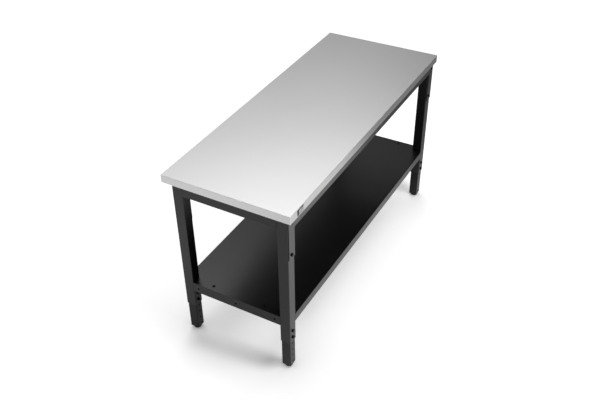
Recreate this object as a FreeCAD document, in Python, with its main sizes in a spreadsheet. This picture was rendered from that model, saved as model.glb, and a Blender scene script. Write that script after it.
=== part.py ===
"""Assembly table: a sheet-steel covered top on a bolted frame with telescopic legs and a lower shelf.

Millimetres, +Z up, +X along the table, the front long side towards -Y.  The origin is on the floor
under the middle of the top.  Every size that can be set by itself is a cell of the sheet "Sizes".
"""
import FreeCAD, Part
import os

doc = FreeCAD.newDocument("AssemblyTable")
sheet = doc.addObject("Spreadsheet::Sheet", "Sizes")

SIZES = [
    # alias, value, what it is
    ("table_length", 1500, "top, along X"),
    ("table_width", 600, "top, along Y"),
    ("table_height", 850, "floor to the upper face of the top"),
    ("top_thickness", 36, "top, cover and board together"),
    ("cover_wall", 1, "sheet of the top cover"),
    ("cover_fold", 1.6, "outer radius of the cover's folds"),
    ("leg_size", 48, "outer leg tube, across flats"),
    ("leg_wall", 2, "outer leg tube, wall"),
    ("leg_corner", 2.5, "outer radius of every tube's corners"),
    ("leg_end_inset", 5.5, "top's end to the legs' end faces"),
    ("leg_front_inset", 16.5, "top's front edge to the front legs' front faces"),
    ("leg_back_inset", 47, "top's back edge to the rear legs' rear faces"),
    ("leg_below_bolt", 22.5, "outer leg's lower end to its lower lock hole"),
    ("inner_play", 0.5, "between inner and outer leg, each side"),
    ("inner_wall", 2, "inner leg tube, wall"),
    ("inner_above_hole", 49.5, "inner leg's upper end to its highest hole"),
    ("hole_first", 30.5, "floor to the lowest hole of the inner leg"),
    ("hole_pitch", 37.5, "height steps of the telescopic legs"),
    ("foot_exposed", 13, "floor to the inner leg's lower end"),
    ("pad_height", 10, "foot pad"),
    ("pad_diameter", 34, "foot pad"),
    ("pad_socket", 6, "depth of the stud's seat in the pad"),
    ("stud_diameter", 10, "foot stud"),
    ("stud_length", 56, "foot stud"),
    ("stud_fit", 0.08, "stud in the plug's thread, radial"),
    ("seat_play", 0.3, "stud in the pad's seat, radial"),
    ("plug_height", 25, "leg plug"),
    ("plug_play", 0.3, "leg plug in the inner leg, each side"),
    ("end_rail_depth", 48, "end rails, along X"),
    ("end_rail_wall", 2, "end rails, wall"),
    ("upper_rail_height", 46, "upper end rails"),
    ("lower_rail_height", 50, "lower end rails"),
    ("lower_rail_top", 297.5, "floor to the lower end rails' upper face"),
    ("accessory_hole", 10, "holes in the lower end rails' outer face"),
    ("accessory_spacing", 194, "spacing of those holes along Y"),
    ("long_rail_height", 50, "long rails under the top"),
    ("long_rail_depth", 35, "long rails' flanges"),
    ("long_rail_wall", 2.5, "long rails, sheet"),
    ("long_rail_bend", 4, "outer radius of the long rails' bends"),
    ("plate_thickness", 3.5, "rail plates on the legs"),
    ("plate_inset", 2.5, "leg's edge to a rail plate's free edge"),
    ("plate_height", 190, "rail plates"),
    ("plate_drop", 10, "how much lower the right end's rail plates sit"),
    ("bracket_upper", 14, "rail plate's upper end to its upper bolt"),
    ("bracket_lower", 172, "rail plate's upper end to its lower bolt"),
    ("shelf_bend", 3, "outer radius of the shelf tray's bends"),
    ("shelf_sheet", 1.2, "shelf tray, sheet"),
    ("shelf_flange", 41, "shelf tray's turned-down long edges"),
    ("shelf_notch_play", 0.5, "shelf tray's notches round the legs"),
    ("shelf_screw_spacing", 254, "between the two shelf screws of one end"),
    ("bolt_diameter", 8, "M8 bolts' shank"),
    ("bolt_flats", 13, "M8 heads and nuts, across flats"),
    ("bolt_head", 5.3, "M8 head height"),
    ("nut_height", 6.5, "M8 nut height"),
    ("bolt_play", 0.3, "bolts and screws in their holes, radial"),
    ("bolt_end", 2, "bolt's end past its nut"),
    ("shelf_screw_diameter", 6, "shelf screws' shank"),
    ("shelf_screw_head", 14, "shelf screws' head, across"),
    ("shelf_screw_dome", 3.5, "shelf screws' head height"),
    ("shelf_screw_length", 12, "shelf screws' shank"),
    ("top_screw_diameter", 5, "screws into the board, shank"),
    ("top_screw_head", 11, "screws into the board, head across"),
    ("top_screw_head_height", 3, "screws into the board, head height"),
    ("top_screw_bite", 22, "screws into the board, length in the wood"),
    ("top_screw_spacing", 420, "screws along one long rail"),
    ("pilot_end_play", 1, "pilot hole past the screw's tip"),
    ("label_length", 48, "blank label plate"),
    ("label_height", 28, "blank label plate"),
    ("label_thickness", 0.4, "blank label plate"),
    ("label_inset", 54, "top's left end to the label plate"),
    ("label_drop", 4.5, "top's upper face to the label plate"),
]

for row, (alias, value, note) in enumerate(SIZES, start=1):
    sheet.set("A%d" % row, alias)
    sheet.set("B%d" % row, str(value))
    sheet.set("C%d" % row, note)
    sheet.setAlias("B%d" % row, alias)
doc.recompute()

# --- places worked out from the sheet, as expressions -------------------------------------------------

UNDERSIDE = "(Sizes.table_height - Sizes.top_thickness)"
LEG_HALF = "(Sizes.leg_size / 2)"
LEG_X = "(Sizes.table_length / 2 - Sizes.leg_end_inset - Sizes.leg_size / 2)"
LEG_INNER_X = "(Sizes.table_length / 2 - Sizes.leg_end_inset - Sizes.leg_size)"
FRONT_FACE = "(Sizes.leg_front_inset - Sizes.table_width / 2)"
REAR_FACE = "(Sizes.table_width / 2 - Sizes.leg_back_inset)"
FRONT_Y = "(%s + Sizes.leg_size / 2)" % FRONT_FACE
REAR_Y = "(%s - Sizes.leg_size / 2)" % REAR_FACE
SPAN_Y = "(%s - %s - 2 * Sizes.leg_size)" % (REAR_FACE, FRONT_FACE)
MIDDLE_Y = "((%s + %s) / 2)" % (REAR_FACE, FRONT_FACE)
INNER_SIZE = "(Sizes.leg_size - 2 * Sizes.leg_wall - 2 * Sizes.inner_play)"
BORE = "(Sizes.bolt_diameter + 2 * Sizes.bolt_play)"
SHELF_BORE = "(Sizes.shelf_screw_diameter + 2 * Sizes.bolt_play)"
PILOT = "(Sizes.top_screw_diameter + 2 * Sizes.bolt_play)"

HOLES_BELOW_LOCK = 4      # free holes under the lower lock bolt at rest
HOLES_ABOVE_LOCK = 3      # free holes over the upper lock bolt at rest
HOLE_COUNT = HOLES_BELOW_LOCK + 2 + HOLES_ABOVE_LOCK
LOCK_LOW = "(Sizes.hole_first + %d * Sizes.hole_pitch)" % HOLES_BELOW_LOCK
LOCK_HIGH = "(%s + Sizes.hole_pitch)" % LOCK_LOW
HIGHEST_HOLE = "(Sizes.hole_first + %d * Sizes.hole_pitch)" % (HOLE_COUNT - 1)
OUTER_BOTTOM = "(%s - Sizes.leg_below_bolt)" % LOCK_LOW
INNER_TOP = "(%s + Sizes.inner_above_hole)" % HIGHEST_HOLE

# name, side along X, side along Y, the leg's centre line along Y
CORNERS = [
    ("front_left", -1, -1, FRONT_Y),
    ("front_right", 1, -1, FRONT_Y),
    ("rear_left", -1, 1, REAR_Y),
    ("rear_right", 1, 1, REAR_Y),
]
SIDES = [("left", -1), ("right", 1)]
FACES = [("front", -1, FRONT_FACE), ("rear", 1, REAR_FACE)]

# --- drawing tools ------------------------------------------------------------------------------------

ROUGH = 10.0              # first size of a drawn line, before its constraints set it
SAME = 1e-3               # how near two coordinates have to be to count as one
nodes = []


def size(alias):
    """Value of one cell of the sheet."""
    return float(sheet.get(alias))


def bind(made, **expressions):
    """Bind properties of an object, such as Length or Placement__Base__x, to expressions."""
    for path, expression in expressions.items():
        made.setExpression(path.replace("__", "."), expression)


def place(made, x="0", y="0", z="0", turn=0, about=(0, 0, 1)):
    """Turn an object by a fixed angle and bind its place."""
    made.Placement = FreeCAD.Placement(FreeCAD.Vector(), FreeCAD.Rotation(FreeCAD.Vector(*about), turn))
    bind(made, Placement__Base__x=x, Placement__Base__y=y, Placement__Base__z=z)


def body(name):
    """New body that is one node of the table."""
    made = doc.addObject("PartDesign::Body", name)
    made.Label = name
    nodes.append(made)
    return made


def sketch(owner, name, role, offset="0"):
    """Sketch on one of the body's own origin planes, moved along its normal by offset."""
    plane = [feature for feature in owner.Origin.OriginFeatures if feature.Role == role][0]
    made = owner.newObject("Sketcher::SketchObject", owner.Name + "_" + name)
    made.AttachmentSupport = [(plane, "")]
    made.MapMode = "FlatFace"
    bind(made, AttachmentOffset__Base__z=offset)
    made.Visibility = False
    return made


def outline(drawing, corners):
    """Closed outline whose corners are pairs of expressions."""
    import Sketcher
    count = len(corners)
    start = drawing.GeometryCount
    turn = FreeCAD.Rotation(FreeCAD.Vector(0, 0, 1), 360.0 / count)
    points = [FreeCAD.Vector(ROUGH, 0, 0)]
    for _ in range(count - 1):
        points.append(turn.multVec(points[-1]))
    for index in range(count):
        drawing.addGeometry(Part.LineSegment(points[index], points[(index + 1) % count]), False)
    for index in range(count):
        after = start + (index + 1) % count
        drawing.addConstraint(Sketcher.Constraint("Coincident", start + index, 2, after, 1))
    for index, (across, up) in enumerate(corners):
        pairs = (("DistanceX", across, points[index].x), ("DistanceY", up, points[index].y))
        for kind, expression, value in pairs:
            constraint = Sketcher.Constraint(kind, -1, 1, start + index, 1, value)
            number = drawing.addConstraint(constraint)
            drawing.setExpression("Constraints[%d]" % number, expression)


def box_outline(drawing, left, low, right, high):
    """Rectangle between two corners."""
    outline(drawing, [(left, low), (right, low), (right, high), (left, high)])


def centred_outline(drawing, across, up):
    """Rectangle about the origin."""
    box_outline(drawing, "-%s / 2" % across, "-%s / 2" % up, "%s / 2" % across, "%s / 2" % up)


def hole(drawing, diameter, across="0", up="0"):
    """Circle at a place given by expressions."""
    import Sketcher
    start = drawing.GeometryCount
    drawing.addGeometry(Part.Circle(FreeCAD.Vector(), FreeCAD.Vector(0, 0, 1), ROUGH), False)
    settings = (
        (Sketcher.Constraint("DistanceX", -1, 1, start, 3, 0.0), across),
        (Sketcher.Constraint("DistanceY", -1, 1, start, 3, 0.0), up),
        (Sketcher.Constraint("Diameter", start, 2 * ROUGH), diameter),
    )
    for constraint, expression in settings:
        number = drawing.addConstraint(constraint)
        drawing.setExpression("Constraints[%d]" % number, expression)


def pad(owner, drawing, length, name="pad"):
    """Material from the sketch along its normal."""
    made = owner.newObject("PartDesign::Pad", owner.Name + "_" + name)
    made.Profile = drawing
    bind(made, Length=length)
    return made


def pocket(owner, drawing, length, name, from_below=False):
    """Cut from the sketch into the body, against its normal or, from below, along it."""
    made = owner.newObject("PartDesign::Pocket", owner.Name + "_" + name)
    made.Profile = drawing
    made.Reversed = from_below
    bind(made, Length=length)
    return made


def row_of(owner, feature, drawing, axis, length, count, name):
    """Straight row of copies of a feature along an axis of its sketch."""
    made = owner.newObject("PartDesign::LinearPattern", owner.Name + "_" + name)
    made.Originals = [feature]
    made.Direction = (drawing, [axis])
    bind(made, Length=length)
    made.Occurrences = count
    owner.Tip = made
    return made


def round_edges(owner, feature, radius, wanted, name="corners"):
    """Round the edges of a feature for which wanted(edge) is true."""
    doc.recompute()
    names = ["Edge%d" % (i + 1) for i, edge in enumerate(feature.Shape.Edges) if wanted(edge)]
    made = owner.newObject("PartDesign::Fillet", owner.Name + "_" + name)
    made.Base = (feature, names)
    bind(made, Radius=radius)
    return made


def along(edge, axis, **at):
    """True for a straight edge along an axis whose other two coordinates have these sizes."""
    first, last = edge.Vertexes[0].Point, edge.Vertexes[-1].Point
    across = [name for name in "xyz" if name != axis]
    straight = all(abs(getattr(first, name) - getattr(last, name)) < SAME for name in across)
    return straight and all(abs(abs(getattr(first, name)) - value) < SAME for name, value in at.items())


# --- the top ------------------------------------------------------------------------------------------

def make_top_cover():
    """Folded sheet over the board, open below."""
    owner = body("top_cover")
    plan = sketch(owner, "plan", "XY_Plane", UNDERSIDE)
    centred_outline(plan, "Sizes.table_length", "Sizes.table_width")
    block = pad(owner, plan, "Sizes.top_thickness")
    half_x, half_y, high = size("table_length") / 2, size("table_width") / 2, size("table_height")

    def fold(edge):
        upright = along(edge, "z", x=half_x, y=half_y)
        return upright or along(edge, "x", y=half_y, z=high) or along(edge, "y", x=half_x, z=high)

    round_edges(owner, block, "Sizes.cover_fold", fold, "folds")
    inside = sketch(owner, "inside", "XY_Plane", UNDERSIDE)
    centred_outline(inside, "(Sizes.table_length - 2 * Sizes.cover_wall)",
                    "(Sizes.table_width - 2 * Sizes.cover_wall)")
    pocket(owner, inside, "Sizes.top_thickness - Sizes.cover_wall", "hollow", from_below=True)


def make_top_board():
    """Board that fills the cover, with pilot holes over the long rails."""
    owner = body("top_board")
    plan = sketch(owner, "plan", "XY_Plane", UNDERSIDE)
    centred_outline(plan, "(Sizes.table_length - 2 * Sizes.cover_wall)",
                    "(Sizes.table_width - 2 * Sizes.cover_wall)")
    pad(owner, plan, "Sizes.top_thickness - Sizes.cover_wall")
    for face, side, face_y in FACES:
        pilots = sketch(owner, face + "_pilots", "XY_Plane", UNDERSIDE)
        for across in TOP_SCREW_X:
            hole(pilots, PILOT, across, top_screw_y(side, face_y))
        depth = "Sizes.top_screw_bite + Sizes.pilot_end_play"
        pocket(owner, pilots, depth, face + "_pilot_holes", from_below=True)


def make_label_plate():
    """Blank plate on the front edge near the left end."""
    made = doc.addObject("Part::Box", "label_plate")
    made.Label = "label_plate"
    bind(made, Length="Sizes.label_length", Width="Sizes.label_thickness", Height="Sizes.label_height")
    place(made, "Sizes.label_inset - Sizes.table_length / 2",
          "-Sizes.table_width / 2 - Sizes.label_thickness",
          "Sizes.table_height - Sizes.label_drop - Sizes.label_height")
    nodes.append(made)


# --- legs and feet ------------------------------------------------------------------------------------

def square_tube(owner, across, wall, low, high):
    """Upright square tube with rounded corners about the body's Z axis."""
    plan = sketch(owner, "plan", "XY_Plane", low)
    centred_outline(plan, across, across)
    block = pad(owner, plan, "%s - %s" % (high, low))
    doc.recompute()
    half = block.Shape.BoundBox.XLength / 2
    round_edges(owner, block, "Sizes.leg_corner", lambda edge: along(edge, "z", x=half, y=half))
    inside = sketch(owner, "inside", "XY_Plane", high)
    bore = "(%s - 2 * %s)" % (across, wall)
    centred_outline(inside, bore, bore)
    pocket(owner, inside, "%s - %s" % (high, low), "bore")


def cross_holes(owner, name, heights):
    """Bolt holes front to back through both walls of a leg."""
    drawing = sketch(owner, name, "XZ_Plane", "Sizes.leg_size")
    for height in heights:
        hole(drawing, BORE, "0", height)
    return drawing, pocket(owner, drawing, "2 * Sizes.leg_size", name + "_cut")


def plate_top(side_x):
    """Height of the upper end of one end's rail plates."""
    return UNDERSIDE if side_x < 0 else "(%s - Sizes.plate_drop)" % UNDERSIDE


def bracket_heights(side_x):
    """Heights of one end's bracket bolts, by name."""
    return {level: "(%s - Sizes.bracket_%s)" % (plate_top(side_x), level) for level in ("upper", "lower")}


def make_outer_leg(corner, side_x, side_y, centre_y):
    """Outer leg with lock holes through it and bracket holes in the wall under its rail plate.

    That wall is the front one of a front leg and, on a rear leg, the one towards the other end.
    """
    owner = body("outer_leg_" + corner)
    square_tube(owner, "Sizes.leg_size", "Sizes.leg_wall", OUTER_BOTTOM, UNDERSIDE)
    cross_holes(owner, "lock_holes", [LOCK_LOW, LOCK_HIGH])
    if side_y < 0:
        bracket = sketch(owner, "bracket_holes", "XZ_Plane", LEG_HALF)
    else:
        bracket = sketch(owner, "bracket_holes", "YZ_Plane", "%d * %s" % (-side_x, LEG_HALF))
    for height in bracket_heights(side_x).values():
        hole(bracket, BORE, "0", height)
    pocket(owner, bracket, "2 * Sizes.leg_wall", "bracket_cut", from_below=side_y > 0 and side_x > 0)
    place(owner, "%d * %s" % (side_x, LEG_X), centre_y)


def make_inner_leg(corner, side_x, centre_y):
    """Inner leg with the row of holes that sets the height."""
    owner = body("inner_leg_" + corner)
    square_tube(owner, INNER_SIZE, "Sizes.inner_wall", "Sizes.foot_exposed", INNER_TOP)
    drawing, cut = cross_holes(owner, "height_hole", ["Sizes.hole_first"])
    row_of(owner, cut, drawing, "V_Axis", "%d * Sizes.hole_pitch" % (HOLE_COUNT - 1), HOLE_COUNT, "height_holes")
    place(owner, "%d * %s" % (side_x, LEG_X), centre_y)


def make_foot(corner, side_x, centre_y):
    """Plug pressed into the inner leg, stud screwed into it, and the pad under the stud."""
    x = "%d * %s" % (side_x, LEG_X)
    plug = body("leg_plug_" + corner)
    plan = sketch(plug, "plan", "XY_Plane", "Sizes.foot_exposed")
    plug_size = "(%s - 2 * Sizes.inner_wall - 2 * Sizes.plug_play)" % INNER_SIZE
    centred_outline(plan, plug_size, plug_size)
    hole(plan, "Sizes.stud_diameter + 2 * Sizes.stud_fit")
    pad(plug, plan, "Sizes.plug_height")
    place(plug, x, centre_y)

    stud = doc.addObject("Part::Cylinder", "foot_stud_" + corner)
    stud.Label = "foot_stud_" + corner
    bind(stud, Radius="Sizes.stud_diameter / 2", Height="Sizes.stud_length")
    place(stud, x, centre_y, "Sizes.pad_height - Sizes.pad_socket")
    nodes.append(stud)

    foot = body("foot_pad_" + corner)
    plan = sketch(foot, "plan", "XY_Plane")
    hole(plan, "Sizes.pad_diameter")
    block = pad(foot, plan, "Sizes.pad_height")
    high = size("pad_height")
    round_edges(foot, block, "Sizes.pad_height / 5",
                lambda edge: edge.Closed and abs(edge.Vertexes[0].Z - high) < SAME, "rim")
    seat = sketch(foot, "seat", "XY_Plane", "Sizes.pad_height")
    hole(seat, "Sizes.stud_diameter + 2 * Sizes.seat_play")
    pocket(foot, seat, "Sizes.pad_socket", "seat_cut")
    place(foot, x, centre_y)


# --- rails and shelf ----------------------------------------------------------------------------------

def rectangular_tube(owner, across, height, wall, length):
    """Tube along -Y from the body's origin, its lower face at Z zero, with rounded long corners."""
    profile = sketch(owner, "profile", "XZ_Plane")
    box_outline(profile, "-%s / 2" % across, "0", "%s / 2" % across, height)
    block = pad(owner, profile, length)
    doc.recompute()
    box = block.Shape.BoundBox

    def long_corner(edge):
        return along(edge, "y", x=box.XLength / 2)

    round_edges(owner, block, "Sizes.leg_corner", long_corner)
    inside = sketch(owner, "inside", "XZ_Plane")
    box_outline(inside, "-%s / 2 + %s" % (across, wall), wall,
                "%s / 2 - %s" % (across, wall), "%s - %s" % (height, wall))
    pocket(owner, inside, length, "bore", from_below=True)


def make_upper_end_rail(side, side_x):
    """Tube between the legs of one end, under the top."""
    owner = body("upper_end_rail_" + side)
    rectangular_tube(owner, "Sizes.end_rail_depth", "Sizes.upper_rail_height", "Sizes.end_rail_wall", SPAN_Y)
    place(owner, "%d * %s" % (side_x, LEG_X), "%s - Sizes.leg_size" % REAR_FACE,
          "%s - Sizes.upper_rail_height" % UNDERSIDE)


def make_lower_end_rail(side, side_x):
    """Tube between the legs of one end, under the shelf, with three holes in its outer face."""
    owner = body("lower_end_rail_" + side)
    rectangular_tube(owner, "Sizes.end_rail_depth", "Sizes.lower_rail_height", "Sizes.end_rail_wall", SPAN_Y)
    middle = "-%s / 2" % SPAN_Y
    screws = sketch(owner, "screw_holes", "XY_Plane", "Sizes.lower_rail_height")
    for step in (-1, 1):
        hole(screws, SHELF_BORE, "0", "%s + %d * Sizes.shelf_screw_spacing / 2" % (middle, step))
    pocket(owner, screws, "2 * Sizes.end_rail_wall", "screw_cut")
    outer = "%d * Sizes.end_rail_depth / 2" % side_x
    holes = sketch(owner, "accessory_holes", "YZ_Plane", outer)
    for step in (-1, 0, 1):
        hole(holes, "Sizes.accessory_hole", "%s + %d * Sizes.accessory_spacing" % (middle, step),
             "Sizes.lower_rail_height / 2")
    pocket(owner, holes, "2 * Sizes.end_rail_wall", "accessory_cut", from_below=side_x < 0)
    place(owner, "%d * %s" % (side_x, LEG_X), "%s - Sizes.leg_size" % REAR_FACE,
          "Sizes.lower_rail_top - Sizes.lower_rail_height")


TOP_SCREW_X = ["%s * Sizes.top_screw_spacing" % share for share in ("-3 / 2", "-1 / 2", "1 / 2", "3 / 2")]


def rail_face(side_y, face_y):
    """Outer face of a long rail, along Y: over the front legs' plates, flush with the rear legs."""
    return "(%s - Sizes.plate_thickness)" % face_y if side_y < 0 else face_y


def top_screw_y(side_y, face_y):
    """Centre line of the screws that hold the board on one long rail, along Y."""
    return "%s - %d * Sizes.long_rail_depth / 2" % (rail_face(side_y, face_y), side_y)


def make_long_rail(face, side_y, face_y):
    """Bent channel under the top, its web outwards.

    The front one reaches the front legs, beside the plates on their front faces.  The rear one
    reaches the plates on the rear legs' inner faces.
    """
    owner = body("long_rail_" + face)
    half = LEG_INNER_X if side_y < 0 else "(%s - Sizes.plate_thickness)" % LEG_INNER_X
    profile = sketch(owner, "profile", "YZ_Plane", "-" + half)
    deep, wall, high = "Sizes.long_rail_depth", "Sizes.long_rail_wall", "Sizes.long_rail_height"
    outline(profile, [("0", "0"), (deep, "0"), (deep, wall), (wall, wall),
                      (wall, "%s - %s" % (high, wall)), (deep, "%s - %s" % (high, wall)),
                      (deep, high), ("0", high)])
    block = pad(owner, profile, "2 * " + half)

    def bend(edge, inwards):
        levels = (inwards, size("long_rail_height") - inwards)
        return any(along(edge, "x", y=inwards, z=level) for level in levels)

    outer = round_edges(owner, block, "Sizes.long_rail_bend", lambda edge: bend(edge, 0), "outer_bends")
    round_edges(owner, outer, "Sizes.long_rail_bend - Sizes.long_rail_wall",
                lambda edge: bend(edge, size("long_rail_wall")), "inner_bends")
    screws = sketch(owner, "screw_holes", "XY_Plane", high)
    for across in TOP_SCREW_X:
        hole(screws, PILOT, across, "Sizes.long_rail_depth / 2")
    pocket(owner, screws, "2 * Sizes.long_rail_wall", "screw_cut")
    place(owner, "0", rail_face(side_y, face_y), "%s - %s" % (UNDERSIDE, high), 0 if side_y < 0 else 180)


def make_rail_plate(corner, side_x, side_y, centre_y):
    """Plate at a long rail's end, bolted on a front leg's front face or a rear leg's inner face."""
    owner = body("rail_plate_" + corner)
    profile = sketch(owner, "profile", "XZ_Plane")
    free_edge = "(%s - Sizes.plate_inset)" % LEG_HALF
    left, right = ("-" + free_edge, LEG_HALF) if side_x < 0 else ("-" + LEG_HALF, free_edge)
    box_outline(profile, left, "-Sizes.plate_height", right, "0")
    for drop in ("Sizes.bracket_upper", "Sizes.bracket_lower"):
        hole(profile, BORE, "0", "-" + drop)
    pad(owner, profile, "Sizes.plate_thickness")
    if side_y < 0:
        place(owner, "%d * %s" % (side_x, LEG_X), FRONT_FACE, plate_top(side_x))
    else:
        place(owner, "%d * %s" % (side_x, LEG_INNER_X), centre_y, plate_top(side_x), -90 * side_x)


def make_shelf_tray():
    """Sheet shelf on the lower end rails, notched round the legs, its long edges turned down."""
    owner = body("shelf_tray")
    end = "(Sizes.table_length / 2 - Sizes.leg_end_inset)"
    inner = "(%s - Sizes.shelf_notch_play)" % LEG_INNER_X
    low_notch = "(%s + Sizes.leg_size + Sizes.shelf_notch_play)" % FRONT_FACE
    high_notch = "(%s - Sizes.leg_size - Sizes.shelf_notch_play)" % REAR_FACE
    plan = sketch(owner, "plan", "XY_Plane", "Sizes.lower_rail_top")
    outline(plan, [("-" + inner, FRONT_FACE), (inner, FRONT_FACE), (inner, low_notch), (end, low_notch),
                   (end, high_notch), (inner, high_notch), (inner, REAR_FACE), ("-" + inner, REAR_FACE),
                   ("-" + inner, high_notch), ("-" + end, high_notch), ("-" + end, low_notch),
                   ("-" + inner, low_notch)])
    for side, side_x in SIDES:
        for step in (-1, 1):
            hole(plan, SHELF_BORE, "%d * %s" % (side_x, LEG_X),
                 "%s + %d * Sizes.shelf_screw_spacing / 2" % (MIDDLE_Y, step))
    pad(owner, plan, "Sizes.shelf_sheet")
    high = "(Sizes.lower_rail_top + Sizes.shelf_sheet)"
    for face, side_y, face_y in FACES:
        edge = sketch(owner, face + "_edge", "XY_Plane", "%s - Sizes.shelf_flange" % high)
        back = "(%s - %d * Sizes.shelf_sheet)" % (face_y, side_y)
        low_y, high_y = (face_y, back) if side_y < 0 else (back, face_y)
        box_outline(edge, "-" + inner, low_y, inner, high_y)
        tray = pad(owner, edge, "Sizes.shelf_flange", face + "_flange")
    faces = [size("table_width") / 2 - size(inset) for inset in ("leg_front_inset", "leg_back_inset")]
    surface = size("lower_rail_top") + size("shelf_sheet")

    def bend(edge, inwards):
        return any(along(edge, "x", y=face - inwards, z=surface - inwards) for face in faces)

    outer = round_edges(owner, tray, "Sizes.shelf_bend", lambda edge: bend(edge, 0), "outer_bends")
    round_edges(owner, outer, "Sizes.shelf_bend - Sizes.shelf_sheet",
                lambda edge: bend(edge, size("shelf_sheet")), "inner_bends")


# --- fasteners ----------------------------------------------------------------------------------------
# A spot is three expressions, its place.  A way is an axis and a sign, the direction a head points.

UP = ("z", 1)
TURNS = {("x", 1): (90, (0, 1, 0)), ("x", -1): (-90, (0, 1, 0)), ("y", 1): (-90, (1, 0, 0)),
         ("y", -1): (90, (1, 0, 0)), UP: (0, (0, 0, 1))}


def onwards(spot, way, distance):
    """Spot moved along a way."""
    axis, sign = way
    return tuple("%s + %d * %s" % (at, sign, distance) if name == axis else at
                 for name, at in zip("xyz", spot))


def back(spot, way, distance):
    """Spot moved against a way."""
    return onwards(spot, (way[0], -way[1]), distance)


def fastener_part(kind, name, spot, way, **expressions):
    """Prism, cylinder or ball at a spot, its axis along a way."""
    made = doc.addObject(kind, name)
    bind(made, **expressions)
    place(made, *spot, *TURNS[way])
    return made


def group(name, members):
    """Node made of separate solids."""
    made = doc.addObject("Part::Compound", name)
    made.Label = name
    made.Links = members
    nodes.append(made)


HEX_CORNER = "Sizes.bolt_flats / 2 / cos(30 deg)"


def hex_bolt(name, seat, way, reach):
    """Hexagon head standing outwards from its seat and a shank that reaches back."""
    head = fastener_part("Part::Prism", name + "_head", seat, way,
                         Circumradius=HEX_CORNER, Height="Sizes.bolt_head")
    shank = fastener_part("Part::Cylinder", name + "_shank", back(seat, way, reach), way,
                          Radius="Sizes.bolt_diameter / 2", Height=reach)
    made = doc.addObject("Part::MultiFuse", name)
    made.Shapes = [head, shank]
    return made


def hex_nut(name, seat, way):
    """Nut that stands back from its seat."""
    foot = back(seat, way, "Sizes.nut_height")
    outer = fastener_part("Part::Prism", name + "_outer", foot, way,
                          Circumradius=HEX_CORNER, Height="Sizes.nut_height")
    bore = fastener_part("Part::Cylinder", name + "_bore", foot, way,
                         Radius="Sizes.bolt_diameter / 2 + Sizes.stud_fit", Height="Sizes.nut_height")
    made = doc.addObject("Part::Cut", name)
    made.Base = outer
    made.Tool = bore
    return made


def make_lock_bolts():
    """Bolts through outer and inner legs, heads outwards, nuts on the legs' inner faces."""
    reach = "(Sizes.leg_size + Sizes.nut_height + Sizes.bolt_end)"
    bolts = []
    nuts = []
    for corner, side_x, side_y, centre_y in CORNERS:
        way = ("y", side_y)
        for level, z in (("low", LOCK_LOW), ("high", LOCK_HIGH)):
            name = "lock_%s_%s" % (corner, level)
            middle = ("%d * %s" % (side_x, LEG_X), centre_y, z)
            bolts.append(hex_bolt(name + "_bolt", onwards(middle, way, LEG_HALF), way, reach))
            nuts.append(hex_nut(name + "_nut", back(middle, way, LEG_HALF), way))
    group("lock_bolts", bolts)
    group("lock_nuts", nuts)


def make_bracket_bolts():
    """Bolts through the rail plates into nuts inside the outer legs."""
    reach = "(Sizes.plate_thickness + Sizes.leg_wall + Sizes.nut_height + Sizes.bolt_end)"
    bolts = []
    nuts = []
    for corner, side_x, side_y, centre_y in CORNERS:
        way = ("y", -1) if side_y < 0 else ("x", -side_x)
        for level, z in bracket_heights(side_x).items():
            name = "bracket_%s_%s" % (corner, level)
            middle = ("%d * %s" % (side_x, LEG_X), centre_y, z)
            seat = onwards(middle, way, "(%s + Sizes.plate_thickness)" % LEG_HALF)
            wall = onwards(middle, way, "(%s - Sizes.leg_wall)" % LEG_HALF)
            bolts.append(hex_bolt(name + "_bolt", seat, way, reach))
            nuts.append(hex_nut(name + "_nut", wall, way))
    group("bracket_bolts", bolts)
    group("bracket_nuts", nuts)


def make_shelf_screws():
    """Domed screws through the shelf into the lower end rails."""
    screws = []
    seat = "(Sizes.lower_rail_top + Sizes.shelf_sheet)"
    for side, side_x in SIDES:
        x = "%d * %s" % (side_x, LEG_X)
        for step, end in ((-1, "front"), (1, "rear")):
            y = "%s + %d * Sizes.shelf_screw_spacing / 2" % (MIDDLE_Y, step)
            name = "shelf_screw_%s_%s" % (side, end)
            spot = (x, y, seat)
            centre = back(onwards(spot, UP, "Sizes.shelf_screw_dome"), UP, DOME_RADIUS)
            ball = fastener_part("Part::Sphere", name + "_ball", centre, UP, Radius=DOME_RADIUS)
            above = fastener_part("Part::Cylinder", name + "_above", spot, UP,
                                  Radius="Sizes.shelf_screw_head", Height="Sizes.shelf_screw_head")
            dome = doc.addObject("Part::MultiCommon", name + "_dome")
            dome.Shapes = [ball, above]
            shank = fastener_part("Part::Cylinder", name + "_shank",
                                  back(spot, UP, "Sizes.shelf_screw_length"), UP,
                                  Radius="Sizes.shelf_screw_diameter / 2", Height="Sizes.shelf_screw_length")
            made = doc.addObject("Part::MultiFuse", name)
            made.Shapes = [dome, shank]
            screws.append(made)
    group("shelf_screws", screws)


# radius of a sphere whose cap has the screw head's width and height
DOME_RADIUS = "(((Sizes.shelf_screw_head / 2)^2 + Sizes.shelf_screw_dome^2) / (2 * Sizes.shelf_screw_dome))"


def make_top_screws():
    """Screws up through the long rails' upper flanges into the board."""
    screws = []
    seat = "(%s - Sizes.long_rail_wall)" % UNDERSIDE
    for face, side_y, face_y in FACES:
        y = top_screw_y(side_y, face_y)
        for number, x in enumerate(TOP_SCREW_X, start=1):
            name = "top_screw_%s_%d" % (face, number)
            spot = (x, y, seat)
            head = fastener_part("Part::Cylinder", name + "_head",
                                 back(spot, UP, "Sizes.top_screw_head_height"), UP,
                                 Radius="Sizes.top_screw_head / 2", Height="Sizes.top_screw_head_height")
            shank = fastener_part("Part::Cylinder", name + "_shank", spot, UP,
                                  Radius="Sizes.top_screw_diameter / 2",
                                  Height="Sizes.long_rail_wall + Sizes.top_screw_bite")
            made = doc.addObject("Part::MultiFuse", name)
            made.Shapes = [head, shank]
            screws.append(made)
    group("top_screws", screws)


# --- the whole table ----------------------------------------------------------------------------------

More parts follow.
